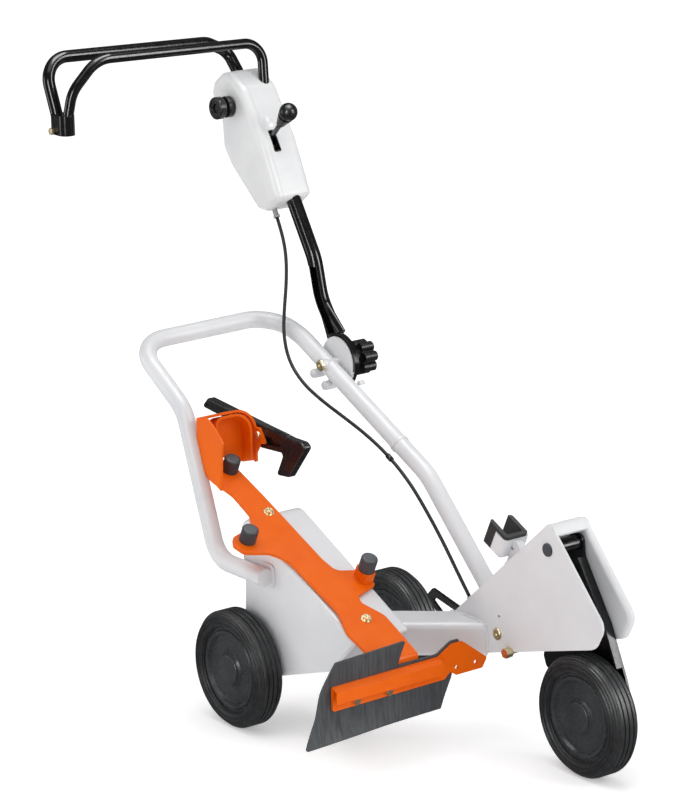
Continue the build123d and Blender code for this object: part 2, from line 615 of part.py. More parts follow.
def lower_end_rod(radius, low, high):
    """A round rod on the cable's lower end line, measured down from that end."""
    end = Vector(*CABLE_ROUTE[-1])
    way = (end - Vector(*CABLE_ROUTE[-2])).normalized()
    return extrude(Plane(origin=end + way * low, z_dir=way) * Circle(radius), high - low)


def make_cable():
    """Outer sheath from the housing to the nose, its two ferrules and the clip."""
    radii = cable_radii()
    print("cable radii", [round(r) for r in radii])
    sheath = bent_rod(CABLE_ROUTE, radii, CABLE_R)
    path = FilletPolyline(*CABLE_ROUTE, radius=radii)
    section = pi * CABLE_R ** 2
    print("cable volume", round(sheath.volume), "section x length", round(section * path.length))
    add("control_cable", sheath)
    add("upper_ferrule", ferrule_rod(4.6, 0, 17) + ferrule_rod(5.6, 0, 4))
    add("lower_ferrule", lower_end_rod(3.9, 0, 16) + lower_end_rod(4.8, 0, 4))


def make_clip():
    """Strap that ties the cable to the side of the main tube."""
    way = Vector(0.87, 0, -0.49).normalized()
    x = 62.0
    z = 408 + (141 - x) * 0.4942
    plane = Plane(origin=(x, MAIN_Y, z), x_dir=(0, 1, 0), z_dir=way)
    band = extrude(plane * Circle(TUBE_R + 1.6), 7)
    add("cable_clip", band - bent_rod(MAIN_ROUTE, MAIN_BENDS, TUBE_R))


# ---- saw support -----------------------------------------------------------

FLAP_X = 350.0
FLAP_BOLTS = ((-187, 147), (-123, 147))

PLATE_LOW = 3.0
PLATE_HIGH = 8.0


SCREWS = ((-150, -100), (129, -92))   # s, y of the plate's screws


def make_support_plate():
    """Long plate on the panel with side ear, raised tab and bent front end."""
    points = [(-292, -150), (-250, -148), (-207, -135), (-154, -135), (-128, -148), (-114, -196),
              (-96, -206), (-74, -198), (-62, -158), (-40, -136), (100, -127), (146, -142),
              (224, -136), (224, -55), (131, -55), (92, -76), (76, -70), (62, -26), (24, -26),
              (12, -72), (-20, -78), (-193, -84), (-256, -88), (-292, -92)]
    radii = [3, 30, 40, 30, 30, 14, 10, 14, 20, 60, 60, 20, 2, 2, 30, 10, 12, 6, 6, 18, 40, 60,
             30, 3]
    plate = panel_plate(points, PLATE_LOW, PLATE_HIGH, radii)
    tab = PANEL.offset(PLATE_HIGH) * Pos(43, -38) * RectangleRounded(30, 22, 4)
    plate += extrude(tab, 20)
    flange = slab([(336, 191), (344, 194), (346, 190), (346, 136), (341, 136), (341, 188)],
                  -136, -55)
    plate += flange
    for s, y in SCREWS:
        plate -= panel_rod(s, y, 0, 12, 3.2)
    for y, z in FLAP_BOLTS:
        plate -= bolt_rod(y, z, FLAP_X - 12, FLAP_X, 3.0)
    add("support_plate", plate - bent_rod(LEG_ROUTE, LEG_BENDS, TUBE_R + 0.3))


def make_plate_screws():
    """Two button-head screws with the spacer sleeves below the plate."""
    screws = Part()
    for s, y in SCREWS:
        head = panel_rod(s, y, PLATE_HIGH + 1.5, PLATE_HIGH + 6, 6.5)
        head -= panel_rod(s, y, PLATE_HIGH + 3.5, PLATE_HIGH + 7, 3.0)
        screw = head + panel_rod(s, y, PLATE_HIGH, PLATE_HIGH + 1.5, 9.0)
        screw += panel_rod(s, y, 0, PLATE_HIGH, 3.15) + panel_rod(s, y, 0, PLATE_LOW, 9.0)
        screws += screw
    add("plate_screws", screws)


def make_buffers():
    """Three rubber buffers that carry the saw."""
    up = Axis(PANEL.origin, PANEL.z_dir)
    buffers = Part()
    for s, y, low in ((-266, -104, PLATE_HIGH), (-100, -176, PLATE_HIGH),
                      (43, -38, PLATE_HIGH + 20)):
        buffer = panel_rod(s, y, low, low + 26, 14.0)
        buffers += fillet(buffer.edges().group_by(up)[-1], 4.0)
    add("buffers", buffers)


CLAMP_BOLT = (-89.0, 461.0)           # x, z of the clamp lever's bolt
HOOD_X = -98.0                        # front edge of the hood's band


def hood_solid(start, depth, points, radii=0.0):
    """An outline in Y and Z, carried back and a little down from the hood's front edge."""
    way = Vector(-cos(radians(17)), 0, -sin(radians(17)))
    plane = Plane(origin=Vector(HOOD_X, 0, 0) + way * start, x_dir=(0, 1, 0), z_dir=(1, 0, 0))
    return extrude(plane * outline(points, radii), amount=depth, dir=way)


def make_clamp():
    """Hood over the saw's handle tube: band, left wall, lever bracket and inner cup."""
    band = hood_solid(0, 26, [(-150, 412), (-150, 509.5), (-44, 509.5), (-44, 412)],
                      [1, 2, 46, 2])
    inside = hood_solid(-4, 40, [(-145.5, 350), (-145.5, 505), (-48.5, 505), (-48.5, 350)],
                        [1, 1.5, 41.5, 1])
    band -= inside
    wall = slab([(-99, 509), (-124, 465), (-113, 425), (-106, 405), (-70, 385), (-58, 385),
                 (-54, 448), (-50, 474), (-74, 495)], -150, -145.5,
                [2, 10, 10, 2, 2, 2, 20, 10, 20])
    bracket = slab([(-108, 472), (-86, 473), (-77, 460), (-70, 449), (-86, 446), (-96, 430),
                    (-104, 424)], -48.5, -44, [2, 4, 8, 2, 6, 6, 2])
    bolt = rod_y(*CLAMP_BOLT, -80, -20, 4.97)
    tube = bent_rod(LEG_ROUTE, LEG_BENDS, TUBE_R + 0.3)
    foot = panel_plate([(-340, -170), (-200, -170), (-200, -20), (-340, -20)], -60, PLATE_HIGH)
    add("clamp_hood", band + wall + bracket - bolt - tube - foot)
    cup = hood_solid(-4, 30, [(-131, 390), (-131, 503), (-57, 503), (-57, 390)],
                     [1, 16, 36, 1])
    cup -= hood_solid(-8, 30, [(-126.5, 370), (-126.5, 498.5), (-61.5, 498.5), (-61.5, 370)],
                      [1, 12, 32, 1])
    cup -= hood_solid(-12, 60, [(-160, 350), (-160, 452), (-131, 443), (-57, 416), (-40, 410),
                                (-40, 350)])
    rivet = Pos(-106, -95, 504) * Cylinder(6, 16)
    add("clamp_cup", cup + (rivet & inside))


def make_clamp_lever():
    """Toggle lever with a hooked grip, on a bolt at the hood's left side."""
    points = [(-263, 474), (-245, 492), (-8, 470), (24, 470), (36, 463), (-14, 402),
              (-48, 399), (-26, 441), (-92, 437), (-140, 461)]
    radii = [4, 4, 8, 6, 6, 4, 4, 5, 12, 30]
    body = slab(points, -43.5, -27.5, radii)
    body = fillet(body.edges().group_by(Axis.Y)[0], 2.5)
    body = fillet(body.edges().group_by(Axis.Y)[-1], 2.5)
    body -= slab([(-250, 482), (-120, 470), (-120, 466), (-250, 478)], -45, -41.5)
    body -= slab([(-84, 462), (-34, 458), (-34, 450), (-76, 447)], -45, -38, 2.0)
    clip = slab([(-58, 476), (-20, 472.5), (-20, 466), (-58, 470)], -39, -31, 1.5)
    add("clamp_lever", body + clip - rod_y(*CLAMP_BOLT, -60, 0, 5.03))
    bolt = rod_y(*CLAMP_BOLT, -53.0, -48.5, 6.8)
    bolt = fillet(bolt.edges().group_by(Axis.Y)[0], 2.0)
    bolt += rod_y(*CLAMP_BOLT, -48.5, -20, 4.97)
    add("clamp_bolt", bolt + hex_y(*CLAMP_BOLT, -27.2, -21, 15))


# ---- spray flap --------------------------------------------------------------

def x_slab(points, x_low, x_high, radii=0.0):
    """An outline in Y and Z, thick from x_low to x_high."""
    plane = Plane(origin=(x_low, 0, 0), x_dir=(0, 1, 0), z_dir=(1, 0, 0))
    return extrude(plane * outline(points, radii), x_high - x_low)


def bolt_rod(y, z, x_low, x_high, radius):
    """A round rod along X."""
    plane = Plane(origin=(x_low, y, z), x_dir=(0, 1, 0), z_dir=(1, 0, 0))
    return extrude(plane * Circle(radius), x_high - x_low)


def make_flap():
    """Folded strip across the front with its end lug, and the rubber that it clamps."""
    strip = x_slab([(-232, 138), (-232, 178), (-20, 180), (8, 196), (30, 196), (80, 158),
                    (70, 142), (16, 142), (4, 150), (-8, 140)], FLAP_X, FLAP_X + 4, 4.0)
    fold = slab([(FLAP_X + 3, 178), (FLAP_X + 16, 173), (FLAP_X + 14, 152),
                 (FLAP_X + 11, 152), (FLAP_X + 13, 171), (FLAP_X + 3, 174.5)], -232, -18)
    strip += fold
    for y, z in ((17, 155), (56, 155)):
        strip -= bolt_rod(y, z, FLAP_X - 5, FLAP_X + 8, 3.5)
    rubber = x_slab([(-286, 84), (-262, 130), (-252, 172), (-222, 216), (-84, 222),
                     (-100, 184), (-20, 184), (8, 200), (26, 200), (8, 138), (-16, 92),
                     (-128, 90)], FLAP_X - 4, FLAP_X, [3, 60, 60, 3, 3, 4, 20, 10, 3, 10, 3, 60])
    heads = Part()
    for y, z in FLAP_BOLTS:
        shank = bolt_rod(y, z, FLAP_X - 10, FLAP_X + 4, 3.0)
        plane = Plane(origin=(FLAP_X + 4, y, z), x_dir=(0, 1, 0), z_dir=(1, 0, 0))
        heads += shank + extrude(plane * RegularPolygon(6.5, 6), 6)
        strip -= shank
        rubber -= shank
    add("flap_strip", strip)
    add("spray_flap", rubber)
    add("flap_bolts", heads)


def main():
    """Build every part and write one STEP file for each."""
    make_wheels()
    make_rear_body()
    make_axle()
    make_cross_beam()
    make_frame()
    make_nose()
    make_nose_fasteners()
    make_swing_arm()
    make_lock()
    make_cradle()
    make_slotted_bracket()
    make_hub()
    make_column()
    make_bars()
    make_bar_end()
    make_housing()
    make_control_lever()
    make_side_knob()
    make_cable()
    make_clip()
    make_support_plate()
    make_plate_screws()
    make_buffers()
    make_clamp()
    make_clamp_lever()
    make_flap()
    os.makedirs("parts", exist_ok=True)
    for name, shape in NODES.items():
        export_step(TO_ORIGIN * shape, "parts/" + name + ".step")


main()
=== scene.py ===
import bmesh
import bpy
import json
from math import cos, pi, radians, sin
from mathutils import Matrix, Vector


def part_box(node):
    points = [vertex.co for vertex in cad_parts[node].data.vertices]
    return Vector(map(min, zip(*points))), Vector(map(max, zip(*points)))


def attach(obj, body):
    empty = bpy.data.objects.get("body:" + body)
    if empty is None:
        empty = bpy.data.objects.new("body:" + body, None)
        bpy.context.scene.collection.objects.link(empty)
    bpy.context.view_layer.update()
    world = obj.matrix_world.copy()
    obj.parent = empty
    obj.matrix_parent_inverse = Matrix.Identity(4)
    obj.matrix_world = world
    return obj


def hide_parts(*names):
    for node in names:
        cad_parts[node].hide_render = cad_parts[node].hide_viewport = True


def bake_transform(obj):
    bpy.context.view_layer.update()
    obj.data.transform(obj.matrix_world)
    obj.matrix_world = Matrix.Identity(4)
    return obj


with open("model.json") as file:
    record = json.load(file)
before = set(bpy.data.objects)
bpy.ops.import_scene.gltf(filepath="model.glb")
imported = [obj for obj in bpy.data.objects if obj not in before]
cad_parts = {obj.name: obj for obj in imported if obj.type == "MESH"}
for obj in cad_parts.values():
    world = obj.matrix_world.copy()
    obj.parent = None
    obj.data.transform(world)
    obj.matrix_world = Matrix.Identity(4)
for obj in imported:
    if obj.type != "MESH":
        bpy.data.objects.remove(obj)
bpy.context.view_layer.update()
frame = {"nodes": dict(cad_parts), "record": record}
nodes = frame["nodes"]

# Metres, in the row's frame: +X is the driving direction, +Y the left side, +Z up.
# The object's own working coordinates start on the rear axle; OFFSET brings them here.
OFFSET = Vector((-0.09125, 0.035475, 0.0))
scene = bpy.context.scene


def place(x, y, z):
    """A point given in millimetres from the rear axle's line, in the row's frame."""
    return Vector((x, y, z)) / 1000.0 + OFFSET


# ---------------------------------------------------------------- camera

CAMERA_SPOT = (4334.3, -3155.7, 1979.2)
CAMERA_YAW = radians(143.433)
CAMERA_PITCH = radians(15.127)
CAMERA_ROLL = radians(-1.234)
CAMERA_LENS = 150.75
CAMERA_SENSOR = 36.0


def make_camera():
    """Camera at the picture's angle: from the front right, a little above."""
    yaw, pitch, roll = CAMERA_YAW, CAMERA_PITCH, CAMERA_ROLL
    ahead = Vector((cos(yaw) * cos(pitch), sin(yaw) * cos(pitch), -sin(pitch)))
    level = Vector((sin(yaw), -cos(yaw), 0.0))
    above = level.cross(ahead)
    right = level * cos(roll) + above * sin(roll)
    up = above * cos(roll) - level * sin(roll)
    data = bpy.data.cameras.new("camera")
    data.sensor_width = CAMERA_SENSOR
    data.lens = CAMERA_LENS
    camera = bpy.data.objects.new("camera", data)
    scene.collection.objects.link(camera)
    turn = Matrix((right, up, -ahead)).transposed().to_4x4()
    camera.matrix_world = Matrix.Translation(place(*CAMERA_SPOT)) @ turn
    scene.camera = camera


make_camera()


# ---------------------------------------------------------------- mesh helpers

def mesh_object(name, points, faces, smooth=True):
    """A new mesh object from points in metres and faces."""
    mesh = bpy.data.meshes.new(name)
    mesh.from_pydata([tuple(point) for point in points], [], faces)
    mesh.validate()
    for polygon in mesh.polygons:
        polygon.use_smooth = smooth
    piece = bpy.data.objects.new(name, mesh)
    scene.collection.objects.link(piece)
    return piece


def tube_data(path, radius, sides=14, closed=False, radius_at=None):
    """Points and faces of a round tube along a path, with its ends closed."""
    count = len(path)
    points, faces = [], []
    across = None
    for i, here in enumerate(path):
        before = path[(i - 1) % count] if closed or i else here
        after = path[(i + 1) % count] if closed or i < count - 1 else here
        way = (after - before).normalized()
        if across is None:
            across = way.orthogonal().normalized()
        across = (across - way * across.dot(way)).normalized()
        side = way.cross(across)
        size = radius * (radius_at(i) if radius_at else 1.0)
        for k in range(sides):
            angle = 2 * pi * k / sides
            points.append(here + across * cos(angle) * size + side * sin(angle) * size)
    for i in range(count if closed else count - 1):
        j = (i + 1) % count
        for k in range(sides):
            m = (k + 1) % sides
            faces.append((i * sides + k, i * sides + m, j * sides + m, j * sides + k))
    if not closed:
        faces.append(tuple(range(sides))[::-1])
        faces.append(tuple(range((count - 1) * sides, count * sides)))
    return points, faces


def joined(name, parts):
    """One mesh object from several lists of points and faces."""
    points, faces = [], []
    for some_points, some_faces in parts:
        shift = len(points)
        points += some_points
        faces += [tuple(index + shift for index in face) for face in some_faces]
    return mesh_object(name, points, faces)


def finish_piece(piece, material, body):
    """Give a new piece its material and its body."""
    piece.data.materials.append(material)
    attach(piece, body)


# ---------------------------------------------------------------- control cable

CABLE_DIAMETER = 0.006
CABLE_ROUTE = [(-280, 138, 776), (-262, 137, 745), (-247, 132, 708), (-238, 124, 668),
               (-232, 114, 626), (-224, 105, 583), (-202, 99, 542), (-160, 97, 511),
               (-108, 99, 490), (-52, 103, 472), (4, 107, 453), (62, 109.5, 428),
               (118, 110, 394), (165, 110, 352), (208, 110, 308), (243, 111, 265),
               (270, 112.4, 232.3)]
CABLE_SIDES = 16


def spline_points(route):
    """Points of the smooth line that has the route's points as its control points."""
    curve = bpy.data.curves.new("cable_line", "CURVE")
    curve.dimensions = "3D"
    spline = curve.splines.new("NURBS")
    spline.points.add(len(route) - 1)
    for point, spot in zip(spline.points, route):
        point.co = (*place(*spot), 1.0)
    spline.order_u = 3
    spline.use_endpoint_u = True
    spline.resolution_u = 10
    holder = bpy.data.objects.new("cable_line", curve)
    line = bpy.data.meshes.new_from_object(holder)
    points = [vertex.co.copy() for vertex in line.vertices]
    bpy.data.meshes.remove(line)
    bpy.data.objects.remove(holder)
    bpy.data.curves.remove(curve)
    return points


cable_path = spline_points(CABLE_ROUTE)


def make_cable():
    """Sheath of the control cable, from the housing to the nose."""
    cable = mesh_object("cable_sheath", *tube_data(cable_path, CABLE_DIAMETER / 2, CABLE_SIDES))
    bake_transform(cable)
    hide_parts("control_cable")
    return cable


cable = make_cable()


# ---------------------------------------------------------------- materials

EDGE_RADIUS = 0.0009


class Shader:
    """A short way to write one node-based material, with softly worn edges."""

    def __init__(self, name):
        self.material = bpy.data.materials.new(name)
        self.material.use_nodes = True
        self.tree = self.material.node_tree
        self.bsdf = self.tree.nodes["Principled BSDF"]
        self.coordinates = self.tree.nodes.new("ShaderNodeTexCoord")
        self.edge = self.tree.nodes.new("ShaderNodeBevel")
        self.edge.samples = 4
        self.edge.inputs["Radius"].default_value = EDGE_RADIUS

    def set(self, **values):
        """Constant values, set on the shader's own sockets."""
        for key, value in values.items():
            self.bsdf.inputs[key.replace("_", " ")].default_value = value

    def link(self, a, b):
        """A link between two sockets."""
        self.tree.links.new(a, b)

    def noise(self, scale, detail=3.0, rough=0.5, stretch=(1, 1, 1)):
        """Noise in the object's own coordinates, which stretch makes coarser or finer."""
        mapping = self.tree.nodes.new("ShaderNodeMapping")
        mapping.inputs["Scale"].default_value = stretch
        self.link(self.coordinates.outputs["Object"], mapping.inputs["Vector"])
        node = self.tree.nodes.new("ShaderNodeTexNoise")
        node.inputs["Scale"].default_value = scale
        node.inputs["Detail"].default_value = detail
        node.inputs["Roughness"].default_value = rough
        self.link(mapping.outputs["Vector"], node.inputs["Vector"])
        return node.outputs["Fac"]

    def spread(self, value, low, high, start=0.3, stop=0.7):
        """The range from start to stop, stretched to low to high."""
        node = self.tree.nodes.new("ShaderNodeMapRange")
        node.inputs["From Min"].default_value = start
        node.inputs["From Max"].default_value = stop
        node.inputs["To Min"].default_value = low
        node.inputs["To Max"].default_value = high
        self.link(value, node.inputs["Value"])
        return node.outputs["Result"]

    def tint(self, value, dark, light, start=0.3, stop=0.7):
        """Base colour between dark and light."""
        node = self.tree.nodes.new("ShaderNodeValToRGB")
        node.color_ramp.elements[0].position = start
        node.color_ramp.elements[1].position = stop
        node.color_ramp.elements[0].color = (*dark, 1.0)
        node.color_ramp.elements[1].color = (*light, 1.0)
        self.link(value, node.inputs["Fac"])
        self.link(node.outputs["Color"], self.bsdf.inputs["Base Color"])

    def roughen(self, value, low, high, start=0.3, stop=0.7):
        """Roughness between low and high."""
        self.link(self.spread(value, low, high, start, stop), self.bsdf.inputs["Roughness"])

    def bump(self, value, depth, strength=1.0, below=None):
        """Relief on top of the one below, or on top of the soft edges."""
        node = self.tree.nodes.new("ShaderNodeBump")
        node.inputs["Strength"].default_value = strength
        node.inputs["Distance"].default_value = depth
        self.link(value, node.inputs["Height"])
        self.link(below or self.edge.outputs["Normal"], node.inputs["Normal"])
        self.link(node.outputs["Normal"], self.bsdf.inputs["Normal"])
        return node.outputs["Normal"]


def powder_coat(name, dark, light, low, high, gloss=0.3):
    """Powder coat: an even colour with fine orange peel and faint handling marks."""
    s = Shader(name)
    s.tint(s.noise(9.0, 4.0, 0.6), dark, light)
    s.roughen(s.noise(55.0, 4.0, 0.6), low, high)
    s.set(Specular_IOR_Level=gloss)
    first = s.bump(s.noise(620.0, 2.0, 0.5), 0.00012, 0.5)
    s.bump(s.noise(90.0, 3.0, 0.5), 0.0003, 0.25, first)
    return s.material


def gloss_paint(name, dark, light):
    """Black gloss enamel with long soft waves."""
    s = Shader(name)
    s.tint(s.noise(30.0, 4.0, 0.6), dark, light)
    s.roughen(s.noise(110.0, 4.0, 0.6), 0.10, 0.20)
    s.set(Specular_IOR_Level=0.42)
    first = s.bump(s.noise(240.0, 2.0, 0.5), 0.0001, 0.35)
    s.bump(s.noise(40.0, 2.0, 0.5), 0.0005, 0.18, first)
    return s.material


def zinc_plate(name, dark, light, low=0.24, high=0.42):
    """Plated steel: uneven passivation colour, fine lines from turning."""
    s = Shader(name)
    s.tint(s.noise(140.0, 4.0, 0.6), dark, light)
    s.roughen(s.noise(420.0, 3.0, 0.6), low, high)
    s.set(Metallic=1.0)
    s.bump(s.noise(900.0, 3.0, 0.6), 0.00008, 0.6)
    return s.material


def moulded(name, dark, light, low, high, grain=1400.0, depth=0.00008):
    """Moulded plastic with an eroded fine grain."""
    s = Shader(name)
    s.tint(s.noise(22.0, 3.0, 0.5), dark, light)
    s.roughen(s.noise(160.0, 4.0, 0.6), low, high)
    first = s.bump(s.noise(grain, 2.0, 0.5), depth, 0.6)
    s.bump(s.noise(60.0, 2.0, 0.5), 0.0003, 0.15, first)
    return s.material


TYRE_GROOVES = 62.0


def tyre_rubber():
    """Solid tyre: concentric grooves round its axis and a mottled, grained surface."""
    s = Shader("tyre_rubber")
    s.tint(s.noise(70.0, 5.0, 0.65), (0.014, 0.015, 0.016), (0.036, 0.038, 0.041))
    s.roughen(s.noise(240.0, 4.0, 0.6), 0.30, 0.48)
    split = s.tree.nodes.new("ShaderNodeSeparateXYZ")
    s.link(s.coordinates.outputs["Generated"], split.inputs["Vector"])
    flat = s.tree.nodes.new("ShaderNodeCombineXYZ")
    s.link(split.outputs["X"], flat.inputs["X"])
    s.link(split.outputs["Z"], flat.inputs["Y"])
    centre = s.tree.nodes.new("ShaderNodeVectorMath")
    centre.operation = "DISTANCE"
    centre.inputs[1].default_value = (0.5, 0.5, 0.0)
    s.link(flat.outputs["Vector"], centre.inputs[0])
    wave = s.tree.nodes.new("ShaderNodeMath")
    wave.operation = "SINE"
    times = s.tree.nodes.new("ShaderNodeMath")
    times.operation = "MULTIPLY"
    times.inputs[1].default_value = 2 * pi * TYRE_GROOVES
    s.link(centre.outputs["Value"], times.inputs[0])
    s.link(times.outputs["Value"], wave.inputs[0])
    first = s.bump(wave.outputs["Value"], 0.0008, 0.7)
    s.bump(s.noise(700.0, 3.0, 0.6), 0.0002, 0.5, first)
    return s.material


def flap_rubber():
    """Rubber sheet with the fine upright streaks of a calendered, brushed surface."""
    s = Shader("flap_rubber")
    streak = s.noise(260.0, 6.0, 0.7, (1.0, 1.0, 0.06))
    s.tint(streak, (0.022, 0.025, 0.028), (0.105, 0.115, 0.125), 0.25, 0.8)
    s.roughen(s.noise(300.0, 5.0, 0.7, (1.0, 1.0, 0.1)), 0.38, 0.62)
    first = s.bump(streak, 0.0004, 0.7)
    s.bump(s.noise(24.0, 2.0, 0.5), 0.0015, 0.3, first)
    return s.material


WHITE = powder_coat("white_paint", (0.70, 0.705, 0.725), (0.765, 0.77, 0.785), 0.28, 0.42)
ORANGE = powder_coat("orange_paint", (0.82, 0.118, 0.0), (0.89, 0.142, 0.0), 0.30, 0.46, 0.16)
BLACK = gloss_paint("black_paint", (0.003, 0.003, 0.0035), (0.007, 0.007, 0.008))
ZINC = zinc_plate("zinc", (0.62, 0.50, 0.27), (0.88, 0.79, 0.56))
STEEL = zinc_plate("lever_steel", (0.10, 0.10, 0.105), (0.19, 0.19, 0.20), 0.22, 0.40)
SHELL = moulded("white_plastic", (0.70, 0.705, 0.715), (0.75, 0.755, 0.76), 0.30, 0.42)
WHEEL = moulded("wheel_plastic", (0.026, 0.029, 0.032), (0.046, 0.050, 0.054), 0.22, 0.38)
KNOB = moulded("black_plastic", (0.005, 0.005, 0.006), (0.012, 0.012, 0.013), 0.22, 0.38)
BUFFER = moulded("buffer_rubber", (0.030, 0.034, 0.042), (0.060, 0.068, 0.080), 0.45, 0.65, 500.0, 0.0002)
CHANNEL = moulded("cradle_rubber", (0.012, 0.012, 0.012), (0.030, 0.030, 0.031), 0.5, 0.7, 500.0, 0.0002)
SHEATH = moulded("cable_sheath", (0.010, 0.011, 0.012), (0.020, 0.021, 0.023), 0.36, 0.5, 900.0, 0.0001)
SHEATH.node_tree.nodes["Principled BSDF"].inputs["Specular IOR Level"].default_value = 0.25
GREY = moulded("grey_plastic", (0.28, 0.29, 0.30), (0.36, 0.37, 0.38), 0.4, 0.55)
TYRE = tyre_rubber()
FLAP = flap_rubber()

LOOKS = {
    "zinc": ZINC, "white_paint": WHITE, "black_paint": BLACK, "orange_paint": ORANGE,
    "soft_rubber": BUFFER, "black_plastic": KNOB, "white_plastic": SHELL,
    "lever_steel": STEEL, "cable_sheath": SHEATH, "grey_plastic": GREY,
    "tyre_rubber": TYRE, "wheel_plastic": WHEEL,
}
SPECIAL = {"spray_flap": FLAP, "cradle_rubber": CHANNEL, "arm_pivot_pin": BUFFER}


def paint_nodes():
    """Each CAD node takes the look of its slot."""
    slots = {part["node"]: part["material_slot"] for part in frame["record"]["subparts"]}
    for name, node in nodes.items():
        node.data.materials.clear()
        node.data.materials.append(SPECIAL.get(name, LOOKS[slots[name]]))


paint_nodes()
cable.data.materials.append(SHEATH)


# ---------------------------------------------------------------- welds

MAIN_TUBE_END = (288, 131, 262)
MAIN_TUBE_WAY = (165, 0, -163.9)
TUBE_WELD_RADIUS = 0.0153
NOSE_WALL_LOW = (233, 131, 192)
NOSE_WALL_WAY = (241, 0, 208)
BEAM_END = (285, 98, 176)
BEAM_WAY = (109, 124, 0)
BEAM_FACE = (285, 97.6, 176)
BEAM_WELD_WIDTH = 0.0745
BEAM_WELD_HEIGHT = 0.0585
BEAM_WELD_CORNER = 0.0125
SEAM_LOW = (238, 165.2, 196.3)
SEAM_HIGH = (470, 165.2, 396.5)
SEAM_DEPTH = 0.0022
LEG_WELD_HEIGHTS = (279.6, 260.4)
# Just over the square root of two, so that a circle's reach fills a square's sides.
SQUARING = 1.42


def ripple(i):
    """The scaly height of a weld bead."""
    return 1.0 + 0.14 * sin(i * 1.9) + 0.05 * sin(i * 0.7)


def straight(start, end, step=0.0014):
    """Evenly spaced points from start to end, in metres."""
    count = max(2, int((end - start).length / step))
    return [start.lerp(end, i / count) for i in range(count + 1)]


def ring_on_plane(section, way, spot, normal):
    """Points of a section, in metres, moved along way onto the plane through spot."""
    return [point + way * ((spot - point).dot(normal) / way.dot(normal)) for point in section]


def round_section(centre, way, radius, count=70):
    """Points of a circle square to way."""
    across = way.orthogonal().normalized()
    side = way.cross(across)
    turns = [2 * pi * i / count for i in range(count)]
    return [centre + across * cos(t) * radius + side * sin(t) * radius for t in turns]


def box_section(centre, across, side, width, height, corner, count=170):
    """Points of a rectangle with round corners."""
    points = []
    for i in range(count):
        t = 2 * pi * i / count
        reach = Vector((cos(t), sin(t)))
        u = max(-1.0, min(1.0, reach.x * SQUARING)) * (width / 2 - corner)
        v = max(-1.0, min(1.0, reach.y * SQUARING)) * (height / 2 - corner)
        out = Vector((reach.x / width, reach.y / height)).normalized() * corner
        points.append(centre + across * (u + out.x) + side * (v + out.y))
    return points


def make_welds():
    """Weld beads where tubes, beam and sheets of the chassis meet."""
    slope = Vector(NOSE_WALL_WAY).normalized()
    wall_normal = Vector((-slope.z, 0, slope.x))
    wall_spot = place(*NOSE_WALL_LOW)
    tube_way = Vector(MAIN_TUBE_WAY).normalized()
    tube = round_section(place(*MAIN_TUBE_END), tube_way, TUBE_WELD_RADIUS)
    beam_way = Vector(BEAM_WAY).normalized()
    beam_side = Vector((-beam_way.y, beam_way.x, 0))
    beam = box_section(place(*BEAM_END), beam_side, Vector((0, 0, 1)), BEAM_WELD_WIDTH,
                       BEAM_WELD_HEIGHT, BEAM_WELD_CORNER)
    groove = slope.cross(Vector((0, 1, 0))) * SEAM_DEPTH
    parts = [
        tube_data(ring_on_plane(tube, tube_way, wall_spot, wall_normal), 0.0024, 8, True, ripple),
        tube_data(ring_on_plane(beam, beam_way, place(*BEAM_FACE), Vector((0, 1, 0))),
                  0.0030, 8, True, ripple),
        tube_data(straight(place(*SEAM_LOW) - groove, place(*SEAM_HIGH) - groove),
                  0.0026, 8, False, ripple),
    ]
    for height in LEG_WELD_HEIGHTS:
        parts.append(tube_data(straight(place(33, -140, height), place(62, -140, height)),
                               0.0019, 8, False, ripple))
    finish_piece(joined("weld_beads", parts), WHITE, "chassis")


make_welds()


# ---------------------------------------------------------------- tyres and cable tie

RING_RADII = (0.0795, 0.0845, 0.0905)
RING_HEIGHT = 0.0012
TIE_SPOT = (64, 109.5, 426)
TIE_RADIUS = 0.0046


def make_tyre_rings(wheel):
    """Thin raised rings moulded in both side walls of a tyre."""
    low, high = [Vector(corner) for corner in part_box(wheel + "_tyre")]
    centre = (low + high) / 2
    parts = []
    for face in (low.y, high.y):
        spot = Vector((centre.x, face, centre.z))
        for radius in RING_RADII:
            ring = round_section(spot, Vector((0, 1, 0)), radius, 96)
            parts.append(tube_data(ring, RING_HEIGHT, 8, True))
    finish_piece(joined(wheel + "_rings", parts), TYRE, wheel)


for wheel in ("rear_wheel_right", "rear_wheel_left", "front_wheel"):
    make_tyre_rings(wheel)


def make_cable_tie():
    """Small sleeve that holds the cable to the strap on the main tube."""
    spot = place(*TIE_SPOT)
    nearest = min(range(len(cable_path)), key=lambda i: (cable_path[i] - spot).length)
    sleeve = tube_data(cable_path[nearest - 1:nearest + 2], TIE_RADIUS, 18)
    finish_piece(joined("cable_tie", [sleeve]), KNOB, "chassis")


make_cable_tie()


# ---------------------------------------------------------------- spray flap

FLAP_FRONT = 350.0
FLAP_THICKNESS = 3.8
FLAP_OUTLINE = [(-286, 84), (-262, 130), (-252, 172), (-222, 216), (-84, 222), (-100, 184),
                (-20, 184), (8, 200), (26, 200), (8, 138), (-16, 92), (-128, 90)]
FLAP_CORNERS = [3, 60, 60, 3, 3, 4, 20, 10, 3, 10, 3, 60]
FLAP_GRID = 8
HELD_LOW = 132.0
HELD_HIGH = 186.0


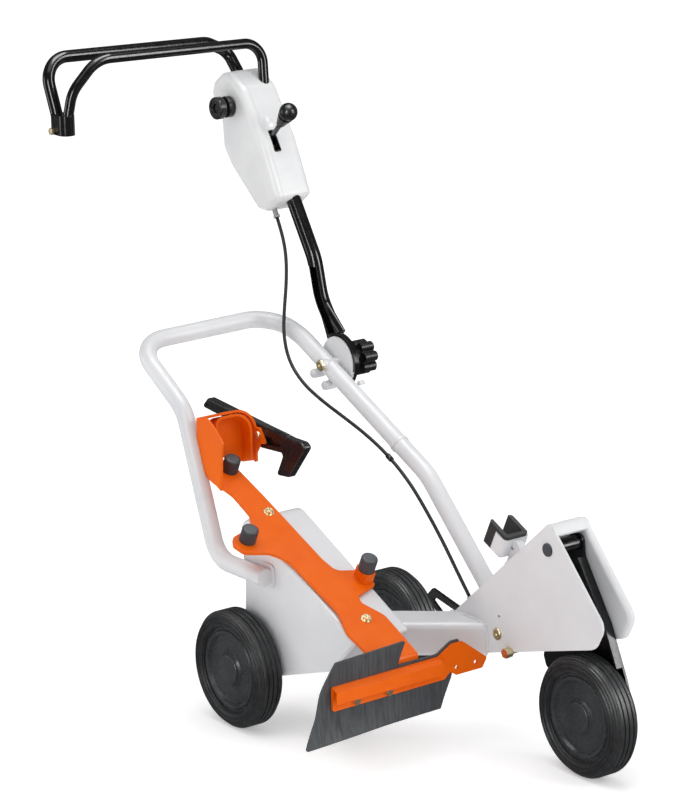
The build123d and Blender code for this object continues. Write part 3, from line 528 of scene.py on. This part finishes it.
def round_corners(points, radii, steps=5):
    """A closed outline whose corners are quadratic arcs of about the given radii."""
    result = []
    for i, (corner, radius) in enumerate(zip(points, radii)):
        here = Vector(corner)
        before, after = Vector(points[i - 1]), Vector(points[(i + 1) % len(points)])
        turn = (here - before).angle(after - here)
        cut = min(radius * sin(turn / 2) / cos(turn / 2), 0.45 * (here - before).length,
                  0.45 * (after - here).length)
        start = here + (before - here).normalized() * cut
        end = here + (after - here).normalized() * cut
        for k in range(steps + 1):
            t = k / steps
            result.append(start * (1 - t) ** 2 + here * 2 * t * (1 - t) + end * t ** 2)
    return result


def flap_bend(y, z):
    """How far the rubber stands forward of its flat shape, in millimetres."""
    below = max(0.0, HELD_LOW - z)
    above = max(0.0, z - HELD_HIGH)
    return 0.0022 * below ** 2 * (1.0 + 0.25 * sin(y * 0.021)) + 0.0016 * above ** 2


def make_flap():
    """Rubber sheet behind the strip, gently curved where nothing holds it."""
    bm = bmesh.new()
    edge = [bm.verts.new((FLAP_FRONT, y, z)) for y, z in round_corners(FLAP_OUTLINE, FLAP_CORNERS)]
    bm.faces.new(edge)
    bm.normal_update()
    bmesh.ops.triangulate(bm, faces=bm.faces[:])
    for axis, low, high in ((1, -280, 30), (2, 90, 220)):
        normal = Vector((0, axis == 1, axis == 2))
        for level in range(low, high, FLAP_GRID):
            bmesh.ops.bisect_plane(bm, geom=bm.verts[:] + bm.edges[:] + bm.faces[:],
                                   plane_co=normal * level, plane_no=normal)
    bmesh.ops.recalc_face_normals(bm, faces=bm.faces[:])
    rear = bmesh.ops.extrude_face_region(bm, geom=bm.faces[:])
    for vertex in rear["geom"]:
        if isinstance(vertex, bmesh.types.BMVert):
            vertex.co.x -= FLAP_THICKNESS
    bmesh.ops.recalc_face_normals(bm, faces=bm.faces[:])
    for vertex in bm.verts:
        x, y, z = vertex.co
        vertex.co = place(x + flap_bend(y, z), y, z)
    mesh = bpy.data.meshes.new("flap_sheet")
    bm.to_mesh(mesh)
    bm.free()
    flap = bpy.data.objects.new("flap_sheet", mesh)
    scene.collection.objects.link(flap)
    finish_piece(flap, FLAP, "chassis")
    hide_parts("spray_flap")


make_flap()


# ---------------------------------------------------------------- stage

FLOOR_HALF = 16
EVEN_STRENGTH = 0.48
GLOSS_STRENGTH = 0.12


def make_lamp(name, spot, width, height, radiance, gloss_only=False):
    """A rectangular soft light that points at the middle of the cart."""
    light = bpy.data.lights.new(name, "AREA")
    light.shape = "RECTANGLE"
    light.size = width
    light.size_y = height
    light.energy = radiance * pi * width * height
    lamp = bpy.data.objects.new(name, light)
    scene.collection.objects.link(lamp)
    lamp.location = spot
    way = Vector((0.0, 0.0, 0.5)) - Vector(spot)
    lamp.rotation_euler = way.to_track_quat("-Z", "Y").to_euler()
    lamp.visible_diffuse = not gloss_only


def make_world():
    """Even white surroundings, darker where only gloss would show them."""
    world = bpy.data.worlds.new("studio")
    scene.world = world
    world.use_nodes = True
    tree = world.node_tree
    even = tree.nodes["Background"]
    even.inputs["Color"].default_value = (1.0, 1.0, 1.0, 1.0)
    even.inputs["Strength"].default_value = EVEN_STRENGTH
    dim = tree.nodes.new("ShaderNodeBackground")
    dim.inputs["Color"].default_value = (1.0, 1.0, 1.0, 1.0)
    dim.inputs["Strength"].default_value = GLOSS_STRENGTH
    rays = tree.nodes.new("ShaderNodeLightPath")
    mix = tree.nodes.new("ShaderNodeMixShader")
    tree.links.new(rays.outputs["Is Glossy Ray"], mix.inputs["Fac"])
    tree.links.new(even.outputs["Background"], mix.inputs[1])
    tree.links.new(dim.outputs["Background"], mix.inputs[2])
    tree.links.new(mix.outputs["Shader"], tree.nodes["World Output"].inputs["Surface"])


def make_stage():
    """White floor that glows brighter away from the cart (painted light), and soft studio lights."""
    scene.view_settings.view_transform = "Standard"
    half = FLOOR_HALF
    points = [(-half, -half, 0), (half, -half, 0), (half, half, 0), (-half, half, 0)]
    floor = mesh_object("floor", points, [(0, 1, 2, 3)], False)
    s = Shader("floor")
    s.tint(s.noise(3.0, 3.0, 0.5), (0.93, 0.93, 0.93), (0.95, 0.95, 0.95))
    s.set(Roughness=0.8, Specular_IOR_Level=0.1, Emission_Color=(1.0, 1.0, 1.0, 1.0))
    # Painted light: the floor glows, its emission rising from 0.36 within 0.9 m of the middle to 0.62 at
    # 3 m out, so the far floor turns pure white while the shadows near the cart stay faint.
    away = s.tree.nodes.new("ShaderNodeVectorMath")
    away.operation = "LENGTH"
    s.link(s.coordinates.outputs["Object"], away.inputs[0])
    s.link(s.spread(away.outputs["Value"], 0.36, 0.62, 0.9, 3.0),
           s.bsdf.inputs["Emission Strength"])
    floor.data.materials.append(s.material)
    floor.visible_glossy = False
    make_world()
    make_lamp("top", (0.2, -0.2, 3.6), 3.0, 3.0, 1.9)
    make_lamp("key", (3.2, 1.8, 2.4), 1.6, 2.2, 3.6)
    make_lamp("fill", (-2.4, -2.6, 1.1), 1.5, 1.5, 3.0)
    make_lamp("gloss_left", (1.7, -3.1, 1.6), 0.9, 2.6, 14.0, True)
    make_lamp("gloss_right", (3.1, 2.0, 1.8), 0.8, 2.6, 12.0, True)
    make_lamp("gloss_top", (0.0, 0.3, 3.4), 1.6, 1.6, 10.0, True)


make_stage()
